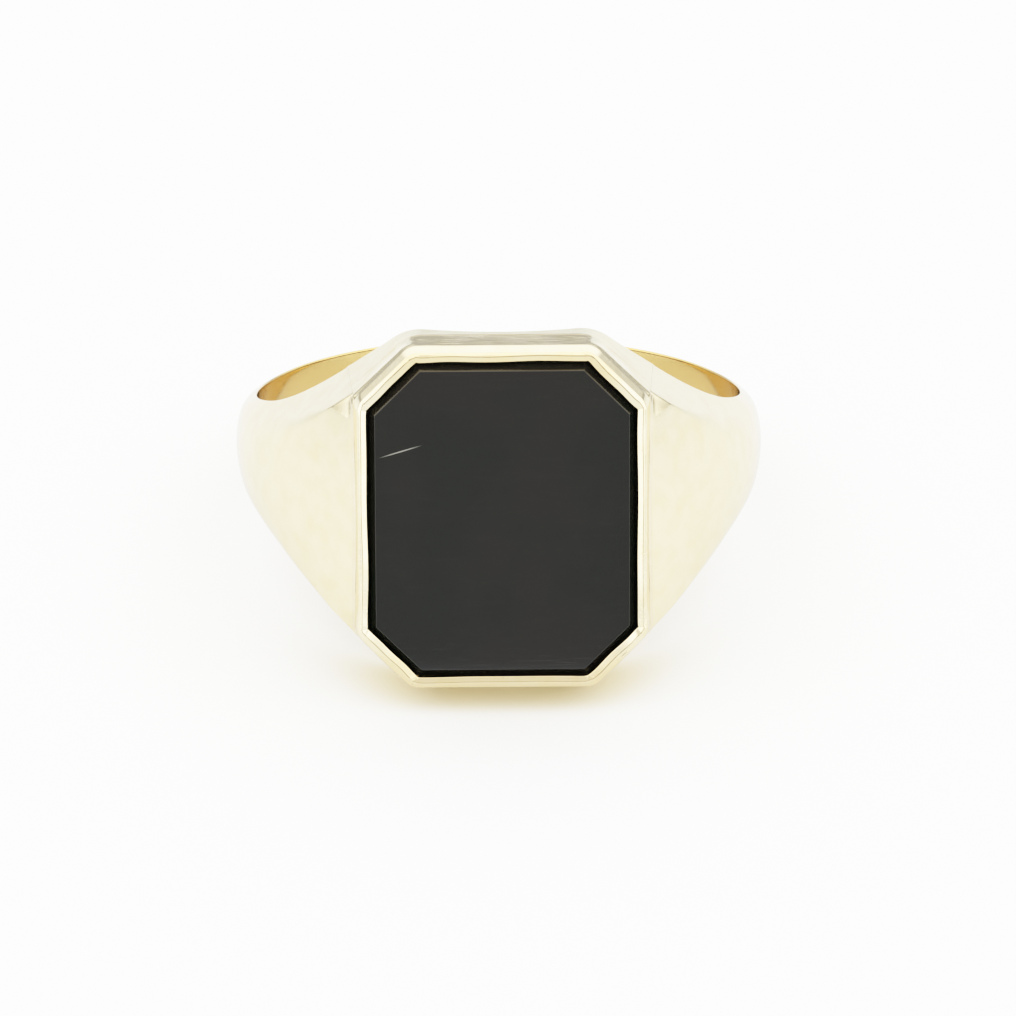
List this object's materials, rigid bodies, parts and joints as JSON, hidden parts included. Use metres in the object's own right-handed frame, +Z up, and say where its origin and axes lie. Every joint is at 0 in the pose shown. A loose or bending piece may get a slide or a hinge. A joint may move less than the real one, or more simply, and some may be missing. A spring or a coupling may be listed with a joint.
{
  "type": "signet ring",
  "caption": "Gold signet ring: flat cut-corner octagonal black stone in a rubbed-over collet, octagonal head, flat-sided tapering shoulders and a slim D-section hoop, lying on its side.",
  "frame": {"origin": "centre of the ring's bounding box on the surface that the ring lies on, z = 0", "axes": "the ring lies on its side: +X across the finger, -Y the way the stone faces (tilted 16.4 degrees up), +Z up, within 16.4 degrees of the finger bore's axis towards the fingertip"},
  "size_m": [0.0194, 0.022, 0.013],
  "materials": {
    "gold": "high polish, 14 ct yellow gold, lightly worn",
    "onyx": "polished black onyx",
    "cement": "dark setting cement",
    "solder": "polished hard gold solder"
  },
  "bodies": {
    "root": {"bearing_wire": "gold", "bezel_collet": "gold", "head_gallery": "gold", "onyx_tablet": "onyx", "setting_cement": "cement", "shank": "gold", "shoulder_left": "gold", "shoulder_right": "gold", "solder_gallery_to_collet": "solder", "solder_shank_to_shoulders": "solder", "solder_shoulders_to_head": "solder"}
  },
  "joints": []
}
